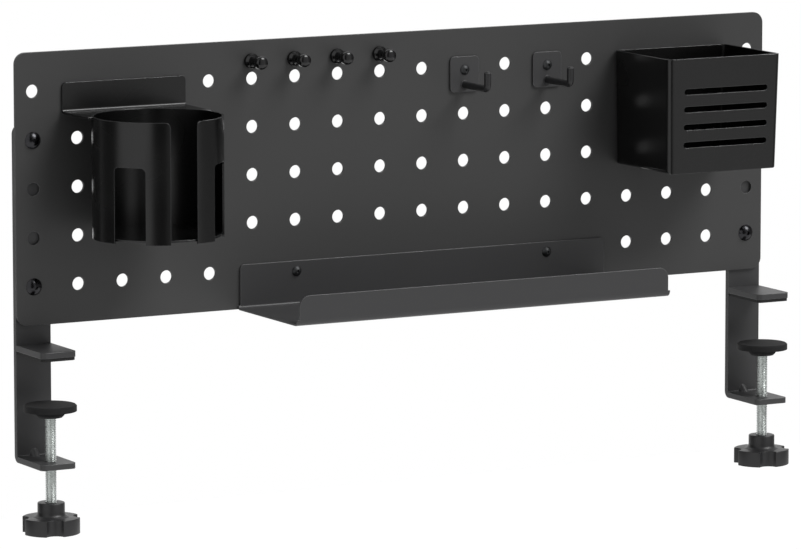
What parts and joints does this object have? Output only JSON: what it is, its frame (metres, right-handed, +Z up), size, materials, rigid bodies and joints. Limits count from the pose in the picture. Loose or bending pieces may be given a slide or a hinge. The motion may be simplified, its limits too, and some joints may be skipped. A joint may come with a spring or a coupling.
{
  "type": "clamp-on desk pegboard",
  "caption": "Steel pegboard that clamps to a desk's rear edge, with a cup holder, pen box, front tray, hooks and magnetic push pins.",
  "frame": {"origin": "middle of the desk's rear edge: the plane of the board's back and the bars' front, at the height of the desk top", "axes": "+X to the right as seen by the user, +Y away from the user, +Z up"},
  "size_m": [0.6184, 0.1106, 0.3316],
  "materials": {
    "board_coat": "fine matte powder coat, dark grey",
    "frame_coat": "matte powder coat, dark grey",
    "tray_coat": "matte powder coat, dark grey",
    "holder_coat": "satin powder coat, black",
    "pad_rubber": "matte black rubber",
    "foot_plastic": "satin black plastic",
    "knob_plastic": "fine-grained black plastic",
    "screw_zinc": "zinc plated, threaded",
    "ring_steel": "plain spring steel",
    "black_screws": "glossy black coated steel",
    "pin_body": "glossy black plastic",
    "magnet": "nickel plated magnet"
  },
  "bodies": {
    "rack": {"board": "board_coat", "left_clamp_bar": "frame_coat", "right_clamp_bar": "frame_coat", "left_upper_jaw": "frame_coat", "right_upper_jaw": "frame_coat", "left_jaw_pad": "pad_rubber", "right_jaw_pad": "pad_rubber", "bar_bolts": "black_screws", "bar_nuts": "black_screws", "tray": "tray_coat", "tray_screws": "black_screws", "tray_washers": "black_screws", "tray_nuts": "black_screws", "hook_plate_1": "tray_coat", "hook_plate_2": "tray_coat", "hook_rod_1": "holder_coat", "hook_rod_2": "holder_coat", "hook_screws": "black_screws", "hook_washers": "black_screws", "hook_nuts": "black_screws"},
    "cup_holder": {"cup_bracket": "holder_coat", "cup_wall": "holder_coat", "cup_base": "holder_coat", "cup_hook_pins": "holder_coat"},
    "pen_holder": {"pen_box": "holder_coat", "pen_box_hook_pins": "holder_coat"},
    "left_clamp_foot": {"left_foot": "foot_plastic", "left_foot_ring": "ring_steel"},
    "left_clamp_knob": {"left_clamp_screw": "screw_zinc", "left_knob": "knob_plastic"},
    "right_clamp_foot": {"right_foot": "foot_plastic", "right_foot_ring": "ring_steel"},
    "right_clamp_knob": {"right_clamp_screw": "screw_zinc", "right_knob": "knob_plastic"},
    "pin_1": {"push_pin_1": "pin_body", "pin_magnet_1": "magnet"},
    "pin_2": {"push_pin_2": "pin_body", "pin_magnet_2": "magnet"},
    "pin_3": {"push_pin_3": "pin_body", "pin_magnet_3": "magnet"},
    "pin_4": {"push_pin_4": "pin_body", "pin_magnet_4": "magnet"}
  },
  "joints": [
    {"name": "left_foot_slide", "type": "slide", "parent": "rack", "child": "left_clamp_foot", "axis": [0, 0, 1], "range_m": [-0.0306, 0.0243]},
    {"name": "left_knob_turn", "type": "hinge", "parent": "left_clamp_foot", "child": "left_clamp_knob", "pos_m": [-0.289, -0.0265, -0.117], "axis": [0, 0, 1], "range_deg": [-8812, 6998]},
    {"name": "right_foot_slide", "type": "slide", "parent": "rack", "child": "right_clamp_foot", "axis": [0, 0, 1], "range_m": [-0.0306, 0.0243]},
    {"name": "right_knob_turn", "type": "hinge", "parent": "right_clamp_foot", "child": "right_clamp_knob", "pos_m": [0.289, -0.0265, -0.117], "axis": [0, 0, 1], "range_deg": [-8812, 6998]},
    {"name": "cup_holder_lift", "type": "slide", "parent": "rack", "child": "cup_holder", "axis": [0, 0, 1], "range_m": [0, 0.0036]},
    {"name": "pen_holder_lift", "type": "slide", "parent": "rack", "child": "pen_holder", "axis": [0, 0, 1], "range_m": [0, 0.0036]},
    {"name": "pin_1_pull", "type": "slide", "parent": "rack", "child": "pin_1", "axis": [0, -1, 0], "range_m": [0, 0.02]},
    {"name": "pin_2_pull", "type": "slide", "parent": "rack", "child": "pin_2", "axis": [0, -1, 0], "range_m": [0, 0.02]},
    {"name": "pin_3_pull", "type": "slide", "parent": "rack", "child": "pin_3", "axis": [0, -1, 0], "range_m": [0, 0.02]},
    {"name": "pin_4_pull", "type": "slide", "parent": "rack", "child": "pin_4", "axis": [0, -1, 0], "range_m": [0, 0.02]}
  ],
  "couplings": [
    {"joint": "left_foot_slide", "follows": "left_knob_turn", "m_per_rad": 0.00019894},
    {"joint": "right_foot_slide", "follows": "right_knob_turn", "m_per_rad": 0.00019894}
  ]
}
